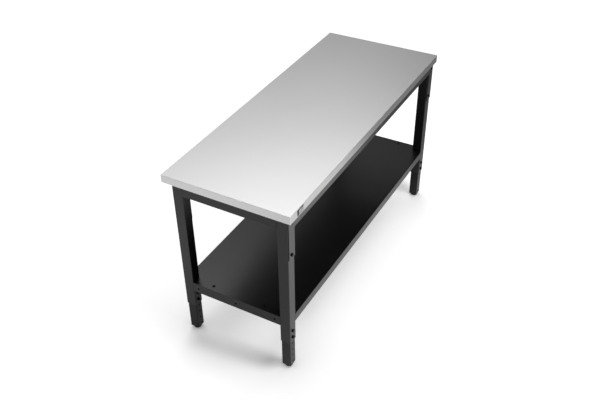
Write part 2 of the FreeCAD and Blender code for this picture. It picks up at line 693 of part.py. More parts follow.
make_top_cover()
make_top_board()
make_label_plate()
for corner, side_x, side_y, centre_y in CORNERS:
    make_outer_leg(corner, side_x, side_y, centre_y)
    make_inner_leg(corner, side_x, centre_y)
    make_foot(corner, side_x, centre_y)
    make_rail_plate(corner, side_x, side_y, centre_y)
for side, side_x in SIDES:
    make_upper_end_rail(side, side_x)
    make_lower_end_rail(side, side_x)
for face, side_y, face_y in FACES:
    make_long_rail(face, side_y, face_y)
make_shelf_tray()
make_lock_bolts()
make_bracket_bolts()
make_shelf_screws()
make_top_screws()
doc.recompute()

for item in doc.Objects:
    if "Invalid" in item.State or "Error" in item.State:
        raise RuntimeError("%s: %s" % (item.Name, item.State))

os.makedirs("parts", exist_ok=True)
for node in nodes:
    shape = node.Shape
    if shape.isNull() or not shape.isValid():
        raise RuntimeError(node.Label + " has no valid shape")
    shape.exportStep("parts/%s.step" % node.Label)
    box = shape.BoundBox
    print("%-24s %2d solid(s) %9.1f cm3  x %8.1f %8.1f  y %8.1f %8.1f  z %7.1f %7.1f" % (
        node.Label, len(shape.Solids), shape.Volume / 1000, box.XMin, box.XMax,
        box.YMin, box.YMax, box.ZMin, box.ZMax))
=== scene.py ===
# %% [markdown]
# # Dressing the assembly table
#
# The table comes in as a finished frame: every tube, rail, sheet and bolt is already there, at its real
# size and in its real place. This lesson gives each of them the surface it has in the workshop, adds the
# small shapes that a solid model leaves out, and sets up a camera, a floor and soft studio light.
#
# The order is: load the frame, build the shared surface effect, make the finishes and give them to the
# nodes, model the small pieces, then stage the table and finish.

# %% Load the frame
import bmesh
import bpy
import math
from mathutils import Euler, Matrix, Vector


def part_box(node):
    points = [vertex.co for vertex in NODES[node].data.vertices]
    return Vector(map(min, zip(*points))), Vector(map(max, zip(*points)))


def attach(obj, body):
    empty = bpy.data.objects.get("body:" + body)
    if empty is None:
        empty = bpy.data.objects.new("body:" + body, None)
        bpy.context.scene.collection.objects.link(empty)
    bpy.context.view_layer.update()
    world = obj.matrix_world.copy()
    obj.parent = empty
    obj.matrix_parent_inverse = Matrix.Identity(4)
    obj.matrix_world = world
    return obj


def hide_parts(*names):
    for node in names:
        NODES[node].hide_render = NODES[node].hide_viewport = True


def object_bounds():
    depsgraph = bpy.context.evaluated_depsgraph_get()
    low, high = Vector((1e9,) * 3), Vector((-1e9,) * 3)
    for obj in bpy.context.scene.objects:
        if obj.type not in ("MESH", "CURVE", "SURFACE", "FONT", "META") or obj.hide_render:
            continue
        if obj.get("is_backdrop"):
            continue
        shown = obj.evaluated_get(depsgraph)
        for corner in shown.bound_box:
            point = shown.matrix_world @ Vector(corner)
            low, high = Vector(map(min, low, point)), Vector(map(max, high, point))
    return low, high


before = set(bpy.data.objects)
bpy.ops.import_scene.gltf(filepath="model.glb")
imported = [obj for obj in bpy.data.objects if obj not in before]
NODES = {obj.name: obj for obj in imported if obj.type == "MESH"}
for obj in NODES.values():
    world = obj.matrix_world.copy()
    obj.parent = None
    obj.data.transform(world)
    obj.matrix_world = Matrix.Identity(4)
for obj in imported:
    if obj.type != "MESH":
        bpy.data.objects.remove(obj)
cad_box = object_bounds()

# %% [markdown]
# ## Tools for building materials
#
# A material is a small net of nodes. Three helpers keep the cells below short: one adds a node and sets its
# sockets, one makes a sum or a product of sockets and numbers, and one makes a soft step.

# %% Node helpers
def add_node(tree, kind, settings=None, **sockets):
    """Add a node; settings are its own properties, sockets its unlinked inputs by name."""
    node = tree.nodes.new(kind)
    for name, value in (settings or {}).items():
        setattr(node, name, value)
    for name, value in sockets.items():
        node.inputs[name.replace("_", " ")].default_value = value
    return node


def combine(tree, operation, *parts, clamp=False):
    """Math node over sockets and plain numbers; gives its output."""
    node = add_node(tree, "ShaderNodeMath", {"operation": operation, "use_clamp": clamp})
    for socket, part in zip(node.inputs, parts):
        if isinstance(part, (int, float)):
            socket.default_value = part
        else:
            tree.links.new(part, socket)
    return node.outputs[0]


def ease(tree, value, start, end):
    """0 at start, 1 at end and smooth between; start may lie above end."""
    step = add_node(tree, "ShaderNodeMapRange", {"interpolation_type": "SMOOTHSTEP"}, From_Min=start,
                    From_Max=end)
    tree.links.new(value, step.inputs["Value"])
    return step.outputs["Result"]


print("node helpers", [helper.__name__ for helper in (add_node, combine, ease)])

# %% [markdown]
# ## Shared effect: mottle
#
# No real surface has one colour and one gloss. Paint flows a little unevenly, zinc grows in patches, hands
# leave faint smears. The group below turns two noises, a wide one and a fine one, into a value about 1 that
# multiplies a colour, into a roughness, and into a height for a Bump node. A group is built once and placed
# in every finish, each time with that finish's own scales and amounts.

# %% Mottle group
def build_mottle():
    """Node group that gives a mottled colour, a roughness and a height."""
    group = bpy.data.node_groups.new("mottle", "ShaderNodeTree")
    face = group.interface
    for name in ("Wide Scale", "Fine Scale", "Shade Change", "Roughness", "Roughness Change"):
        face.new_socket(name, in_out="INPUT", socket_type="NodeSocketFloat")
    face.new_socket("Color", in_out="INPUT", socket_type="NodeSocketColor")
    face.new_socket("Color", in_out="OUTPUT", socket_type="NodeSocketColor")
    face.new_socket("Roughness", in_out="OUTPUT", socket_type="NodeSocketFloat")
    face.new_socket("Height", in_out="OUTPUT", socket_type="NodeSocketFloat")
    given = add_node(group, "NodeGroupInput").outputs
    made = add_node(group, "NodeGroupOutput").inputs
    place = add_node(group, "ShaderNodeTexCoord").outputs["Object"]
    noises = []
    for scale, detail in (("Wide Scale", 3.0), ("Fine Scale", 2.0)):
        noise = add_node(group, "ShaderNodeTexNoise", Detail=detail)
        group.links.new(place, noise.inputs["Vector"])
        group.links.new(given[scale], noise.inputs["Scale"])
        noises.append(noise.outputs["Fac"])
    wide, fine = noises
    swing = combine(group, "SUBTRACT", combine(group, "ADD", wide, fine), 1.0)
    shade = combine(group, "MULTIPLY_ADD", swing, given["Shade Change"], 1.0)
    gloss = combine(group, "MULTIPLY_ADD", swing, given["Roughness Change"], given["Roughness"], clamp=True)
    tint = add_node(group, "ShaderNodeVectorMath", {"operation": "SCALE"})
    group.links.new(given["Color"], tint.inputs[0])
    group.links.new(shade, tint.inputs["Scale"])
    group.links.new(tint.outputs[0], made["Color"])
    group.links.new(gloss, made["Roughness"])
    group.links.new(fine, made["Height"])
    return group


MOTTLE = build_mottle()
print("group", MOTTLE.name, "with", len(MOTTLE.nodes), "nodes")

# %% [markdown]
# ## The finishes
#
# The frame is powder coated: a black plastic skin, baked on, with a fine orange peel. The top is wrapped in
# satin sheet steel. Bolts are black, studs and hidden screws zinc plated, feet and plugs moulded plastic.
# All of them are one Principled BSDF behind the mottle group, so one function makes them all. The scales are
# in waves per metre, the height of the relief in metres.

# %% Finishes
RELIEF = 0.0002


def grey(level):
    """Neutral colour."""
    return (level, level, level)


def start_material(name, color, roughness, metallic=0.0):
    """New material with one Principled BSDF."""
    material = bpy.data.materials.new(name)
    material.use_nodes = True
    tree = material.node_tree
    tree.nodes.clear()
    surface = add_node(tree, "ShaderNodeBsdfPrincipled", Roughness=roughness, Metallic=metallic)
    surface.inputs["Base Color"].default_value = (*color, 1.0)
    output = add_node(tree, "ShaderNodeOutputMaterial")
    tree.links.new(surface.outputs["BSDF"], output.inputs["Surface"])
    material.diffuse_color = (*color, 1.0)
    return material, tree, surface


def make_finish(name, color, roughness, metallic=0.0, specular=0.5, wide=6.0, fine=400.0, shade=0.1,
                gloss=0.1, bump=0.2):
    """Material whose colour, roughness and fine relief come from the mottle group."""
    material, tree, surface = start_material(name, color, roughness, metallic)
    surface.inputs["Specular IOR Level"].default_value = specular
    effect = add_node(tree, "ShaderNodeGroup", {"node_tree": MOTTLE}, Wide_Scale=wide, Fine_Scale=fine,
                      Shade_Change=shade, Roughness=roughness, Roughness_Change=gloss)
    effect.inputs["Color"].default_value = (*color, 1.0)
    tree.links.new(effect.outputs["Color"], surface.inputs["Base Color"])
    tree.links.new(effect.outputs["Roughness"], surface.inputs["Roughness"])
    relief = add_node(tree, "ShaderNodeBump", Strength=bump, Distance=RELIEF)
    tree.links.new(effect.outputs["Height"], relief.inputs["Height"])
    tree.links.new(relief.outputs["Normal"], surface.inputs["Normal"])
    return material


POWDER = {"fine": 700.0, "shade": 0.25, "bump": 0.1}
POWDER_BLACK = grey(0.005)
COAT = make_finish("black_powder_coat", POWDER_BLACK, 0.33, **POWDER)
PLATE_COAT = make_finish("plate_powder_coat", POWDER_BLACK, 0.33, **POWDER)
LEG_COAT = make_finish("inner_leg_coat", POWDER_BLACK, 0.35, specular=0.33, **POWDER)
SHEET = make_finish("satin_sheet_steel", grey(0.58), 0.38, metallic=0.6, wide=3.0, fine=300.0, shade=0.03,
                    gloss=0.05, bump=0.05)
BOARD = make_finish("particle_board", (0.42, 0.30, 0.18), 0.8, wide=60.0, fine=260.0, shade=0.6, bump=0.6)
PLASTIC = make_finish("moulded_plastic", grey(0.008), 0.5, specular=0.3, fine=900.0, shade=0.2, bump=0.3)
BLACKED = make_finish("blacked_steel", grey(0.006), 0.45, specular=0.2, wide=90.0, shade=0.3)
ZINC = make_finish("zinc_plate", grey(0.55), 0.35, metallic=0.9, wide=90.0, shade=0.15)
LABEL = make_finish("label_face", grey(0.85), 0.4, wide=40.0, shade=0.03, bump=0.05)
finishes = (COAT, PLATE_COAT, LEG_COAT, SHEET, BOARD, PLASTIC, BLACKED, ZINC, LABEL)
print("finishes", [finish.name for finish in finishes])

# %% [markdown]
# ## Finishes that know which way a face looks
#
# Three finishes change with the direction of the face, which the object-space normal gives. The top's sheet
# was folded down at its edges. The folds get a painted highlight: a lighter, less metallic colour for the
# light a rounded bend catches. The folded-down faces are more metallic and glossier, and their colour is
# painted shade and light: darker on the front and back, lighter on the ends, for how the lamps fall on them.
# The rail plates' edges that look along the table get less shine, a painted shade for the shadow gap between
# plate and leg. The top board is given a near-black colour on its underside, and shows its chips elsewhere.
# A mask that eases with the normal follows all of this without a second material.

# %% Direction masks
X_WAY = (1, 0, 0)
UP = (0, 0, 1)
DOWN = (0, 0, -1)
MIX_SOCKETS = {"FLOAT": (2, 3, 0), "RGBA": (6, 7, 2)}      # the Mix node's A, B and Result for each kind
SIDE_FACE = (0.3, 0.05)                 # cosines with up, from the fold to the folded-down face
FOLD_BELOW = (0.15, 0.35)               # the fold lies between these two steps
FOLD_ABOVE = (0.99, 0.9)
END_FACE = (0.5, 0.8)                   # cosines with X, for faces that look along the table
UNDERSIDE = (0.5, 0.9)                  # cosines with down


def facing(material, way, start, end, both_ways=True):
    """Mask that eases from 0 to 1 as the cosine between a face's normal and a way goes from start to end."""
    tree = material.node_tree
    cosine = add_node(tree, "ShaderNodeVectorMath", {"operation": "DOT_PRODUCT"})
    tree.links.new(add_node(tree, "ShaderNodeTexCoord").outputs["Normal"], cosine.inputs[0])
    cosine.inputs[1].default_value = way
    size = cosine.outputs["Value"]
    if both_ways:
        size = combine(tree, "ABSOLUTE", size)
    return ease(tree, size, start, end)


def blend_input(material, socket, mask, value):
    """Where the mask is 1, an input of the shader gets a number or colour instead of what feeds it."""
    tree = material.node_tree
    target = tree.nodes["Principled BSDF"].inputs[socket]
    kind = "FLOAT" if isinstance(value, float) else "RGBA"
    mix = add_node(tree, "ShaderNodeMix", {"data_type": kind})
    before, after, result = MIX_SOCKETS[kind]
    if target.links:
        tree.links.new(target.links[0].from_socket, mix.inputs[before])
    else:
        mix.inputs[before].default_value = target.default_value
    mix.inputs[after].default_value = value if kind == "FLOAT" else (*value, 1.0)
    tree.links.new(mask, mix.inputs["Factor"])
    tree.links.new(mix.outputs[result], target)


# Painted shade: the folded-down faces get a darker colour than the top; their higher metal and gloss are the
# sheet's own.
side_mask = facing(SHEET, UP, *SIDE_FACE)
blend_input(SHEET, "Base Color", side_mask, grey(0.49))
blend_input(SHEET, "Metallic", side_mask, 0.85)
blend_input(SHEET, "Roughness", side_mask, 0.32)
# Painted light: the sheet's end faces, which look along the table, get a lighter colour.
blend_input(SHEET, "Base Color", facing(SHEET, X_WAY, *END_FACE), grey(0.82))
# Painted highlight: the fold between the top and its sides gets a lighter, less metallic colour.
fold_highlight_mask = combine(SHEET.node_tree, "MULTIPLY", facing(SHEET, UP, *FOLD_BELOW),
                    facing(SHEET, UP, *FOLD_ABOVE))
blend_input(SHEET, "Base Color", fold_highlight_mask, grey(0.95))
blend_input(SHEET, "Metallic", fold_highlight_mask, 0.2)
# Painted shade: less shine on the plates' edges that look along the table, standing in for the shadow gap
# beside the leg.
blend_input(PLATE_COAT, "Specular IOR Level", facing(PLATE_COAT, X_WAY, *END_FACE), 0.1)
# The board's underside gets a near-black colour.
blend_input(BOARD, "Base Color", facing(BOARD, DOWN, *UNDERSIDE, both_ways=False), (0.03, 0.025, 0.02))
print("direction masks on", SHEET.name, PLATE_COAT.name, BOARD.name)

# %% [markdown]
# ## Which node gets which finish
#
# Every solid of the frame gets its finish by name. Pieces that come once at each leg, end or long side share
# the first part of their name, so a short list of places names them all.

# %% Dressing
CORNERS = ("front_left", "front_right", "rear_left", "rear_right")
SIDES = ("left", "right")
FACES = ("front", "rear")


def each(kind, places):
    """Names of one kind of piece at all its places."""
    return ["%s_%s" % (kind, place) for place in places]


def dress(material, *names):
    """Give CAD nodes one material all over."""
    for name in names:
        slots = NODES[name].data.materials
        slots.clear()
        slots.append(material)
    print(material.name, "on", len(names), "nodes")


dress(SHEET, "top_cover")
dress(BOARD, "top_board")
dress(LABEL, "label_plate")
dress(PLATE_COAT, *each("rail_plate", CORNERS))
dress(COAT, "shelf_tray", *each("outer_leg", CORNERS), *each("upper_end_rail", SIDES),
      *each("lower_end_rail", SIDES), *each("long_rail", FACES))
dress(LEG_COAT, *each("inner_leg", CORNERS))
dress(PLASTIC, *each("leg_plug", CORNERS), *each("foot_pad", CORNERS))
dress(ZINC, "bracket_nuts", "top_screws", *each("foot_stud", CORNERS))
dress(BLACKED, "bracket_bolts", "lock_bolts", "lock_nuts", "shelf_screws")

# %% [markdown]
# ## Turning
#
# Bolts, nuts, screws, feet and studs are turned parts in real life, and so they are here: a chain of points
# is drawn, half of the part's section, and swept once round Z. The first point is a tiny plane merged to one
# vertex, the others are extruded from it one by one. Because a part is swept in one go, its thread is a row
# of rings and no spiral, which nobody can tell at this size. All sections are in millimetres.

# %% Turning
MM = 0.001
SAME_POINT = 0.002 * MM
THREAD_DEPTH = 0.6         # as a share of the pitch


def fresh(kind, **settings):
    """Add one primitive with nothing else selected."""
    bpy.ops.object.select_all(action="DESELECT")
    getattr(bpy.ops.mesh, "primitive_%s_add" % kind)(**settings)
    return bpy.context.object


def turned(name, section, steps=32):
    """Closed turned body: points (radius, height) in mm, swept once round Z."""
    obj = fresh("plane", size=MM)
    obj.name = name
    bpy.ops.object.mode_set(mode="EDIT")
    bpy.ops.mesh.select_mode(type="VERT")
    bpy.ops.mesh.select_all(action="SELECT")
    bpy.ops.mesh.merge(type="CENTER")
    points = [Vector((radius, 0.0, height)) * MM for radius, height in section]
    bpy.ops.transform.translate(value=points[0])
    for here, there in zip(points, points[1:]):
        bpy.ops.mesh.extrude_vertices_move(TRANSFORM_OT_translate={"value": there - here})
    bpy.ops.mesh.select_all(action="SELECT")
    bpy.ops.mesh.spin(steps=steps, angle=2 * math.pi, center=(0, 0, 0), axis=(0, 0, 1))
    bpy.ops.mesh.select_all(action="SELECT")
    bpy.ops.mesh.remove_doubles(threshold=SAME_POINT)
    bpy.ops.mesh.normals_make_consistent(inside=False)
    bpy.ops.object.mode_set(mode="OBJECT")
    return obj


def thread(radius, start, end, pitch):
    """Section points of a thread from one height to another, a crest and a root for each turn."""
    way = math.copysign(pitch, end - start)
    points = []
    for turn in range(int(abs(end - start) / pitch)):
        points.append((radius, start + way * (turn + 0.1)))
        points.append((radius - THREAD_DEPTH * pitch, start + way * (turn + 0.6)))
    return points


print("a thread 10 mm long with a pitch of 1 mm takes", len(thread(3.0, 0.0, 10.0, 1.0)), "points")

# %% [markdown]
# ## Setting out
#
# Each kind of fastener is modelled once at the origin, with its head up and its seat at height 0, and then
# copied to its places. A CAD node holds all fasteners of one kind, so the places are read off its separate
# solids: a copy of the mesh is merged, and what hangs together is one solid.

# %% Setting out
SMOOTH_BELOW = math.radians(32)


def joined(name, *objs):
    """Make several objects one."""
    bpy.ops.object.select_all(action="DESELECT")
    for obj in objs:
        obj.select_set(True)
    bpy.context.view_layer.objects.active = objs[0]
    bpy.ops.object.join()
    objs[0].name = name
    return objs[0]


def solids_of(node):
    """Lowest and highest corner of each separate solid of a CAD node, in the order of their places."""
    shape = bmesh.new()
    shape.from_mesh(NODES[node].data)
    bmesh.ops.remove_doubles(shape, verts=shape.verts, dist=SAME_POINT)
    left = set(shape.verts)
    boxes = []
    while left:
        reached = [left.pop()]
        for vert in reached:
            for edge in vert.link_edges:
                other = edge.other_vert(vert)
                if other in left:
                    left.remove(other)
                    reached.append(other)
        rows = [[vert.co[axis] for vert in reached] for axis in range(3)]
        boxes.append((Vector([min(row) for row in rows]), Vector([max(row) for row in rows])))
    shape.free()
    return sorted(boxes, key=lambda box: tuple(box[0]))


def seats(node, head_way, head):
    """Where the solids of a fastener node sit: the place under the head, and the way the head looks."""
    spots = []
    for low, high in solids_of(node):
        middle = (low + high) / 2
        way = Vector(head_way(middle))
        reach = abs((high - low).dot(way)) / 2
        spots.append((middle + way * (reach - head * MM), way))
    return spots


def set_out(model, name, spots, material, body):
    """Copy a model to each (place, way), join the copies to one piece and put it on its body."""
    twins = []
    for place, way in spots:
        twin = model.copy()
        twin.data = model.data.copy()
        bpy.context.scene.collection.objects.link(twin)
        turn = Vector(way).to_track_quat("Z", "Y").to_matrix().to_4x4()
        twin.matrix_world = Matrix.Translation(place) @ turn
        twins.append(twin)
    piece = joined(name, *twins)
    bpy.ops.object.transform_apply(location=True, rotation=True, scale=True)
    bpy.ops.object.shade_smooth_by_angle(angle=SMOOTH_BELOW)
    piece.data.materials.clear()
    piece.data.materials.append(material)
    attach(piece, body)
    print(name, len(spots), "copies", len(piece.data.polygons), "faces")
    return piece


for node in ("lock_bolts", "bracket_bolts", "shelf_screws"):
    print(node, "found", len(solids_of(node)))

# %% [markdown]
# ## Hexagon bolts
#
# A bolt head starts as a turned disc with a cut corner and is then milled on six sides, which leaves the
# curved bevel of a real head. Under it is the round washer face, on it a shallow dish. The shank is plain
# and ends in a few turns of thread with a cut corner. Its length is measured on the CAD bolt.

# %% Hexagon bolts
FLATS = 13.0               # mm, across the flats
CORNER = 7.5               # mm, radius over the six corners
WASHER_FACE = 5.9          # mm, radius
WASHER_STEP = 0.4          # mm, how far the washer face stands out
HEAD = 5.3                 # mm, height
HEAD_FACE = 6.1            # mm, radius of the head's flat top
HEAD_FALL = 0.8            # mm, how far the bevel falls from there to the corners
DISH = 4.4                 # mm, radius of the dish in the top
DISH_DEPTH = 0.4
BOLT_RADIUS = 4.0
BOLT_PITCH = 1.25
BOLT_THREADED = 14.0       # mm of thread at the bolt's end
BOLT_ROOT = 0.3            # mm, how far the shank reaches into the head
BOLT_TIP = 3.1             # mm, radius of the tip


def milled(obj, flats):
    """Cut six flats on a turned body; two of them face +Y and -Y."""
    bpy.ops.object.mode_set(mode="EDIT")
    for side in range(6):
        angle = math.radians(30 + 60 * side)
        way = Vector((math.cos(angle), math.sin(angle), 0.0))
        bpy.ops.mesh.select_all(action="SELECT")
        bpy.ops.mesh.bisect(plane_co=way * flats / 2 * MM, plane_no=way, use_fill=True, clear_outer=True)
    bpy.ops.mesh.select_all(action="SELECT")
    bpy.ops.mesh.normals_make_consistent(inside=False)
    bpy.ops.object.mode_set(mode="OBJECT")
    return obj


def hexagon_bolt(length):
    """Bolt with its head up, its seat at height 0 and a shank of a given length in mm."""
    dish_floor = HEAD - DISH_DEPTH
    head_section = [(0, dish_floor), (DISH, dish_floor), (DISH + DISH_DEPTH, HEAD), (HEAD_FACE, HEAD),
                    (CORNER, HEAD - HEAD_FALL), (CORNER, WASHER_STEP), (WASHER_FACE, WASHER_STEP),
                    (WASHER_FACE, 0), (0, 0)]
    head = milled(turned("head", head_section, steps=48), FLATS)
    plain = max(length - BOLT_THREADED, 1.0)
    turns = thread(BOLT_RADIUS, -plain, 1.0 - length, BOLT_PITCH)
    shank = turned("shank", [(0, BOLT_ROOT), (BOLT_RADIUS, BOLT_ROOT), (BOLT_RADIUS, -plain), *turns,
                             (BOLT_TIP, -length), (0, -length)], steps=24)
    return joined("bolt", head, shank)


def lock_way(middle):
    """Lock bolts look outwards, to the front or the back."""
    return (0, math.copysign(1, middle.y), 0)


def bracket_way(middle):
    """Bracket bolts look to the front on the front legs, and to the table's middle on the rear ones."""
    return (0, -1, 0) if middle.y < 0 else (-math.copysign(1, middle.x), 0, 0)


for node, head_way in (("lock_bolts", lock_way), ("bracket_bolts", bracket_way)):
    low, high = solids_of(node)[0]
    model = hexagon_bolt(max(high - low) / MM - HEAD)
    spots = seats(node, head_way, HEAD)
    bolts = set_out(model, node + "_detailed", spots, BLACKED, "table")
    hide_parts(node)
    bpy.data.objects.remove(model)

# %% [markdown]
# ## Hexagon nuts
#
# A nut is the same disc with a hole: its section is a closed ring, beveled on both ends outside and inside.

# %% Hexagon nuts
NUT = 6.5                  # mm, height
NUT_BORE = 4.05            # mm, radius
NUT_FACE = 6.2             # mm, radius of the flat ring at each end
BORE_BEVEL = 0.5
CORNER_BEVEL = 0.75
nut_section = [(NUT_BORE, BORE_BEVEL), (NUT_BORE + BORE_BEVEL, 0), (NUT_FACE, 0), (CORNER, CORNER_BEVEL),
               (CORNER, NUT - CORNER_BEVEL), (NUT_FACE, NUT), (NUT_BORE + BORE_BEVEL, NUT),
               (NUT_BORE, NUT - BORE_BEVEL), (NUT_BORE, BORE_BEVEL)]
nut = milled(turned("nut", nut_section, steps=48), FLATS)
for node, head_way, finish, finish_slot in (("lock_nuts", lock_way, BLACKED, "black_fastener"),
                                            ("bracket_nuts", bracket_way, ZINC, "zinc")):
    nuts = set_out(nut, node + "_detailed", seats(node, head_way, NUT), finish, "table")
    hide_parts(node)
bpy.data.objects.remove(nut)

# %% [markdown]
# ## Shelf screws
#
# Low domed heads with a recess for the key. The recess is turned with the rest, so it is round. The head's
# edge stands a little off the sheet and leaves a thin dark ring.

# %% Shelf screws
DOME = 3.5                 # mm, height of the head
DOME_RADIUS = 7.0
DOME_EDGE = 0.5            # mm, how far the dome's rim stands off the sheet
DOME_FOOT = 6.6            # mm, radius of the face that sits on the sheet
RECESS = 2.1               # mm, radius
RECESS_FLOOR = 1.6
RECESS_TOP = 3.45
SCREW_RADIUS = 3.0
SCREW_TIP = 2.2            # mm, radius of the tip
SCREW_LENGTH = 12.0
SCREW_PITCH = 1.0
dome = []
for degrees in range(60, -10, -10):
    slope = math.radians(degrees)
    dome.append((DOME_RADIUS * math.cos(slope), DOME_EDGE + (DOME - DOME_EDGE) * math.sin(slope)))
screw_turns = thread(SCREW_RADIUS, -0.5, 1.0 - SCREW_LENGTH, SCREW_PITCH)
screw_section = [(0, RECESS_FLOOR), (RECESS, RECESS_FLOOR), (RECESS, RECESS_TOP), *dome, (DOME_FOOT, 0),
                 (SCREW_RADIUS, 0), *screw_turns, (SCREW_TIP, -SCREW_LENGTH), (0, -SCREW_LENGTH)]
screw = turned("screw", screw_section, steps=36)
screw_spots = seats("shelf_screws", lambda middle: UP, DOME)
screws = set_out(screw, "shelf_screws_detailed", screw_spots, BLACKED, "table")
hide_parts("shelf_screws")
bpy.data.objects.remove(screw)

# %% [markdown]
# ## Feet
#
# Each foot is a moulded pad with a ribbed rim, so that it can be turned by hand, on a threaded stud. The pad
# is turned first; then every third face of its rim is set in and pushed inwards, which is quicker than
# modelling the ribs one by one and leaves them all alike.

# %% Feet
PAD_RADIUS = 17.0
PAD_HEIGHT = 10.0
PAD_STEPS = 60
SOCKET = 5.4               # mm, radius of the seat round the stud
SOCKET_FLOOR = 4.2
RIM = (1.4, 6.4)           # mm, the upright part of the rim
RIB_GAP = 0.955            # how far a groove is pushed in, as a share of the radius
STUD_RADIUS = 5.0
STUD_PITCH = 1.5
STUD_TIP = 4.2             # mm, radius of both ends
STUD_ENDS = (0.2, 55.8)    # mm, a hair inside the CAD stud's ends


def pick(obj, test):
    """In edit mode, select the faces whose middle (in mm) and normal pass a test."""
    bpy.ops.mesh.select_all(action="DESELECT")
    bpy.ops.mesh.select_mode(type="FACE")
    shape = bmesh.from_edit_mesh(obj.data)
    for face in shape.faces:
        face.select_set(test(face.calc_center_median() / MM, face.normal))
    bmesh.update_edit_mesh(obj.data)


def groove(middle, normal):
    """Every third face of the rim."""
    number = int((math.atan2(middle.y, middle.x) + math.pi) / (2 * math.pi) * PAD_STEPS)
    return RIM[0] < middle.z < RIM[1] and middle.xy.length > PAD_RADIUS - 1.0 and number % 3 == 0


pad_section = [(0, 0), (15.6, 0), (16.6, 0.5), (PAD_RADIUS, RIM[0]), (PAD_RADIUS, RIM[1]), (16.2, 8.0),
               (14.0, 9.3), (9.6, PAD_HEIGHT), (6.0, PAD_HEIGHT), (SOCKET, 9.6), (SOCKET, SOCKET_FLOOR),
               (0, SOCKET_FLOOR)]
pad = turned("pad", pad_section, steps=PAD_STEPS)
bpy.ops.object.mode_set(mode="EDIT")
pick(pad, groove)
bpy.ops.mesh.inset(thickness=0.25 * MM, use_individual=True)
bpy.ops.transform.resize(value=(RIB_GAP, RIB_GAP, 1.0), center_override=(0, 0, 0))
bpy.ops.object.mode_set(mode="OBJECT")
low_end, high_end = STUD_ENDS
stud_turns = thread(STUD_RADIUS, low_end + 0.6, high_end - 0.8, STUD_PITCH)
stud = turned("stud", [(0, low_end), (STUD_TIP, low_end), *stud_turns, (STUD_TIP, high_end), (0, high_end)],
              steps=24)
for corner in CORNERS:
    for model, name, node, finish, finish_slot in (
            (pad, "ribbed_pad_", "foot_pad_", PLASTIC, "black_plastic"),
            (stud, "threaded_stud_", "foot_stud_", ZINC, "zinc")):
        low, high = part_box(node + corner)
        seat = ((low[0] + high[0]) / 2, (low[1] + high[1]) / 2, low[2])
        piece = set_out(model, name + corner, [(seat, UP)], finish, "foot_" + corner)
        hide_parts(node + corner)
bpy.data.objects.remove(pad)
bpy.data.objects.remove(stud)

# %% [markdown]
# ## Weld beads
#
# The end rails are welded between the legs, the long rails to their plates. A bead is a thin rippled bar
# that lies half sunk in the corner; under the powder coat it shows as a soft row of ripples. It is turned
# like the bolts, then laid along the corner between two points.

# %% Weld beads
BEAD = 1.5                 # mm, radius
RIPPLE = 2.6               # mm, length of one ripple
EDGE_SHORT = 3.0           # mm, a bead up an end rail stays this far from the rail's edges
ROUND_SHORT = 4.0          # mm, a bead across a rail stays this far from rounded corners and lips
BEND_SHORT = 6.0           # mm, and this far from a long rail's bend
FLANGE = 2.5               # mm, sheet of the long rails
IN_FLANGE = 1.2            # mm, how deep in a flange's edge its bead lies
PROUD_INNER = 0.4          # mm, a bead's middle off an end rail's inner face
PROUD_UNDER = 0.3          # mm, off its underside
PROUD_END = 0.6            # mm, in from a long rail's end
VALLEY = 0.74              # radius between two ripples, as a share of the bead's


def bead(start, end):
    """Rippled bar between two points."""
    length = (end - start).length / MM
    ripples = max(int(length / RIPPLE), 2)
    step = length / ripples
    section = [(0, 0)]
    for ripple in range(ripples):
        section += [(BEAD * VALLEY, (ripple + 0.12) * step), (BEAD, (ripple + 0.6) * step)]
    section.append((0, length))
    bar = turned("bead", section, steps=10)
    bar.matrix_world = Matrix.Translation(start) @ (end - start).to_track_quat("Z", "Y").to_matrix().to_4x4()
    return bar


def end_rail_beads(side, level):
    """Beads at both legs: up the rail's inner face and across its underside."""
    low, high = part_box("%s_end_rail_%s" % (level, side))
    inner = high[0] + PROUD_INNER * MM if side == "left" else low[0] - PROUD_INNER * MM
    bottom, top = low[2] + EDGE_SHORT * MM, high[2] - EDGE_SHORT * MM
    near, far = low[0] + ROUND_SHORT * MM, high[0] - ROUND_SHORT * MM
    under = low[2] - PROUD_UNDER * MM
    beads = []
    for y in (low[1], high[1]):
        beads.append(bead(Vector((inner, y, bottom)), Vector((inner, y, top))))
        beads.append(bead(Vector((near, y, under)), Vector((far, y, under))))
    return beads


def long_rail_beads(face):
    """Beads at both plates: along the lower flange and under the upper one."""
    low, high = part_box("long_rail_" + face)
    bend, lip = low[1] + BEND_SHORT * MM, high[1] - ROUND_SHORT * MM
    if face == "rear":
        bend, lip = high[1] - BEND_SHORT * MM, low[1] + ROUND_SHORT * MM
    beads = []
    for x in (low[0] + PROUD_END * MM, high[0] - PROUD_END * MM):
        for z in (low[2] + IN_FLANGE * MM, high[2] - (FLANGE + IN_FLANGE) * MM):
            beads.append(bead(Vector((x, bend, z)), Vector((x, lip, z))))
    return beads


bars = []
for side in SIDES:
    for level in ("upper", "lower"):
        bars += end_rail_beads(side, level)
for face in FACES:
    bars += long_rail_beads(face)
bpy.context.view_layer.update()
welds = joined("weld_beads", *bars)
bpy.ops.object.transform_apply(location=True, rotation=True, scale=True)
bpy.ops.object.shade_smooth_by_angle(angle=math.radians(60))
welds.data.materials.append(COAT)
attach(welds, "table")
print("weld beads", len(bars), len(welds.data.polygons), "faces")

# %% [markdown]
# ## Label plate
#
# A thin plate on the top's front edge for the maker's or owner's name, left blank. Its corners are rounded.
# Two cuts part its face into a dark band at the left and along the top and a light field, which is set a
# hair lower, so that the band needs no picture.

# %% Label plate
BAND_LEFT = 12.0           # mm, width of the dark band at the left
BAND_TOP = 5.0             # mm, and along the top
CORNER_ROUND = 2.0
FIELD_INSET = 0.5
FIELD_DEPTH = 0.12
low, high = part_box("label_plate")
plate_size = [b - a for a, b in zip(low, high)]
band_x = low[0] + BAND_LEFT * MM
band_z = high[2] - BAND_TOP * MM


def field(middle, normal):
    """The light part of the plate's front."""
    return normal.y < -0.9 and middle.x > band_x / MM and middle.z < band_z / MM


